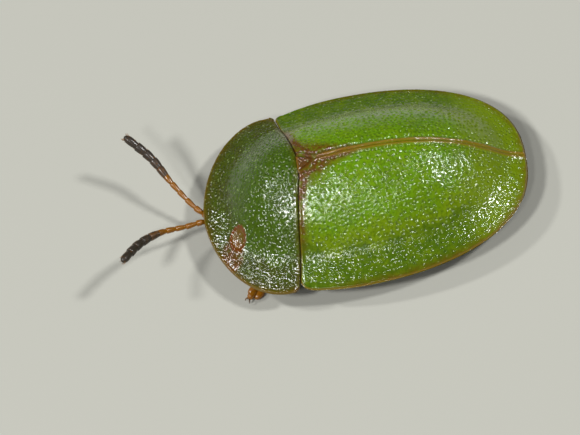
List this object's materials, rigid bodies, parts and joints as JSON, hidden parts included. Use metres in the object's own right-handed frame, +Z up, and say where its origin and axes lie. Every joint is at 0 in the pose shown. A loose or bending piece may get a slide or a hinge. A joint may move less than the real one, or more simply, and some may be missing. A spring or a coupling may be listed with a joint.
{
  "type": "tortoise beetle",
  "caption": "Life-size green tortoise beetle, standing still: domed shell with a flattened rim, legs and head tucked beneath, feelers spread forward.",
  "frame": {"origin": "on the floor, under the middle of the animal's box, feelers included", "axes": "+Z up, +Y towards the tail, +X to the beetle's left"},
  "size_m": [0.0052, 0.0096, 0.0022],
  "materials": {
    "shield_green": "glossy pitted shell, olive green",
    "case_green": "glossy pitted shell, leaf green",
    "rust": "glossy reddish brown shell",
    "black": "glossy black body wall",
    "eye_black": "dark faceted eye",
    "amber": "orange-brown limb"
  },
  "bodies": {
    "root": {"pronotum": "shield_green", "scutellum": "rust", "elytron_left": "case_green", "elytron_right": "case_green", "prothorax": "black", "hind_thorax": "black", "abdomen": "black", "head": "black", "eye_left": "eye_black", "eye_right": "eye_black", "antenna_left": "amber", "antenna_right": "amber", "leg_front_left": "amber", "leg_front_right": "amber", "leg_middle_left": "amber", "leg_middle_right": "amber", "leg_hind_left": "amber", "leg_hind_right": "amber"}
  },
  "joints": []
}
